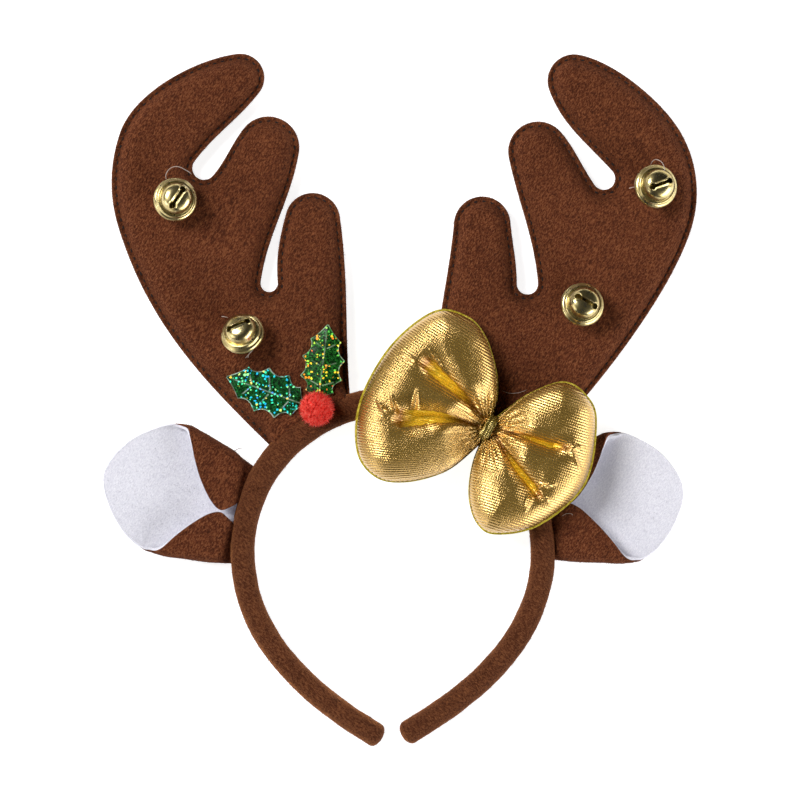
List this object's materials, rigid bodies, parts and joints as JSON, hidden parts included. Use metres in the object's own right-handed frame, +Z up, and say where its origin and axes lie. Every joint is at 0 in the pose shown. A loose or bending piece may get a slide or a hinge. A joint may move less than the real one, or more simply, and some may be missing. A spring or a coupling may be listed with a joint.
{
  "type": "reindeer antler headband",
  "caption": "Felt headband with stuffed reindeer antlers, folded ears, a gathered gold bow, jingle bells, foil holly leaves and a pompom berry, lying on its back.",
  "frame": {"origin": "on the surface it lies on, under the middle of the outline", "axes": "+X to the side with the bow, +Y from the tips of the band to the tips of the antlers, +Z up out of the front"},
  "size_m": [0.2678, 0.3123, 0.0288],
  "materials": {
    "brown_felt": "fibrous matt felt",
    "white_felt": "fibrous matt felt",
    "gold_lame": "ribbed metallic knit",
    "bow_felt": "matt",
    "bow_wrap": "crinkled metallic knit",
    "bell_brass": "polished",
    "leaf_foil": "embossed holographic foil",
    "berry_wool": "fluffy wool"
  },
  "bodies": {
    "root": {"headband": "brown_felt", "antler_left": "brown_felt", "antler_right": "brown_felt", "ear_left_outer": "brown_felt", "ear_left_lining": "white_felt", "ear_right_outer": "brown_felt", "ear_right_lining": "white_felt", "bow_backing": "bow_felt", "bow_pad": "gold_lame", "bow_tie": "bow_wrap", "bell_left_upper": "bell_brass", "bell_left_lower": "bell_brass", "bell_right_upper": "bell_brass", "bell_right_lower": "bell_brass", "holly_leaf_side": "leaf_foil", "holly_leaf_upright": "leaf_foil", "berry_pompom": "berry_wool"}
  },
  "joints": []
}
